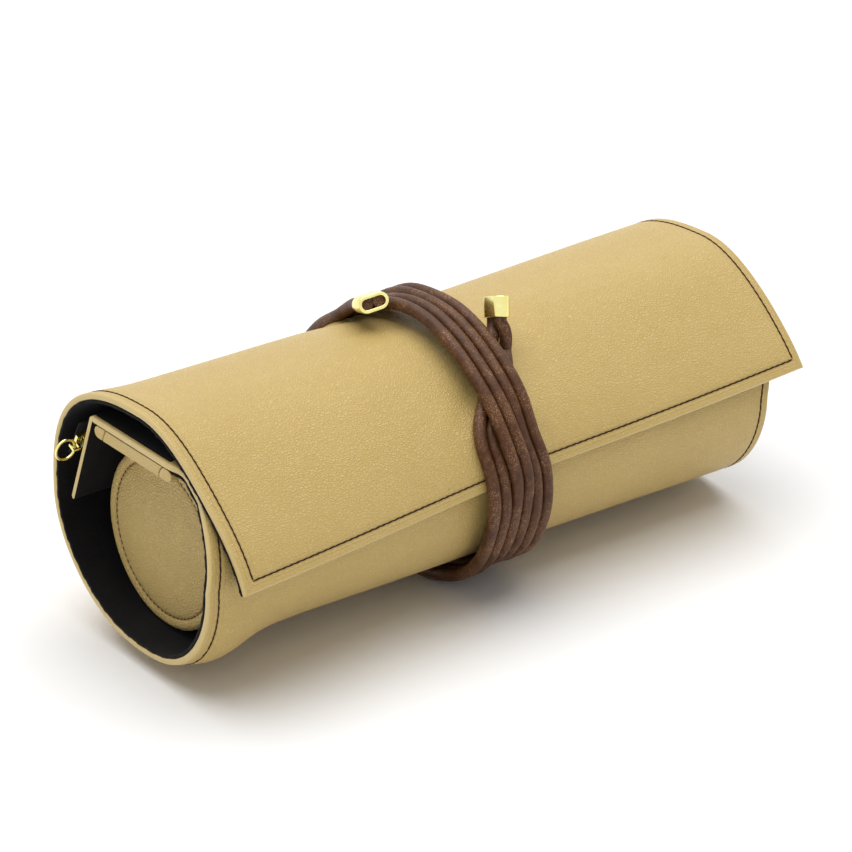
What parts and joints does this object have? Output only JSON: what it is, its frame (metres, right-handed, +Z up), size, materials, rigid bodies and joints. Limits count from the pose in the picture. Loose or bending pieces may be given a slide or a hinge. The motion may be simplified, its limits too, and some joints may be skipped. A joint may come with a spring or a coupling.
{
  "type": "jewelry roll",
  "caption": "Rolled leather jewelry case around a padded ring bolster, tied in the middle with a doubled leather cord that ends in metal collars.",
  "frame": {"origin": "middle of the whole roll's box, at the level of the surface that its tie rests on", "axes": "+X along the roll to its right end, -Y to the front where the cover's flap ends, +Z up"},
  "size_m": [0.2504, 0.1102, 0.1009],
  "materials": {
    "tan_leather": "gold-tan pebbled leather, soft semi-gloss",
    "black_suede": "black suede-like lining, matt",
    "brown_cord": "dark brown round leather cord, satin",
    "pale_brass": "polished pale gold plating",
    "foam_filling": "soft filling",
    "end_board": "grey-brown stiffening board",
    "zip_cloth": "black woven tape"
  },
  "bodies": {
    "roll": {"outer_cover": "tan_leather", "cover_lining": "black_suede", "divider_flap": "tan_leather", "panel_body": "tan_leather", "panel_binding_front": "tan_leather", "panel_binding_back": "tan_leather", "bolster_sleeve": "tan_leather", "bolster_filling": "foam_filling", "bolster_end_left": "tan_leather", "bolster_end_right": "tan_leather", "bolster_board_left": "end_board", "bolster_board_right": "end_board", "zip_tape_upper": "zip_cloth", "zip_tape_lower": "zip_cloth", "zip_teeth_upper": "pale_brass", "zip_teeth_lower": "pale_brass", "zip_stop_left": "pale_brass", "zip_stop_right": "pale_brass", "tie_cord_left": "brown_cord", "tie_cord_right": "brown_cord", "tie_ferrule_top": "pale_brass", "tie_ferrule_tucked": "pale_brass"},
    "leaf": {"divider_leaf": "tan_leather"},
    "slider": {"zip_slider": "pale_brass"},
    "pull_ring": {"zip_pull_ring": "pale_brass"}
  },
  "joints": [
    {"name": "leaf_fold", "type": "hinge", "parent": "roll", "child": "leaf", "pos_m": [0, 0.02426, 0.0766], "axis": [-1, 0, 0], "range_deg": [0, 9]},
    {"name": "zip_slide", "type": "slide", "parent": "roll", "child": "slider", "axis": [1, 0, 0], "range_m": [0, 0.18]},
    {"name": "ring_swing", "type": "hinge", "parent": "slider", "child": "pull_ring", "pos_m": [-0.11747, 0.03362, 0.06483], "axis": [0, -0.1363, 0.9907], "range_deg": [0, 7]}
  ]
}
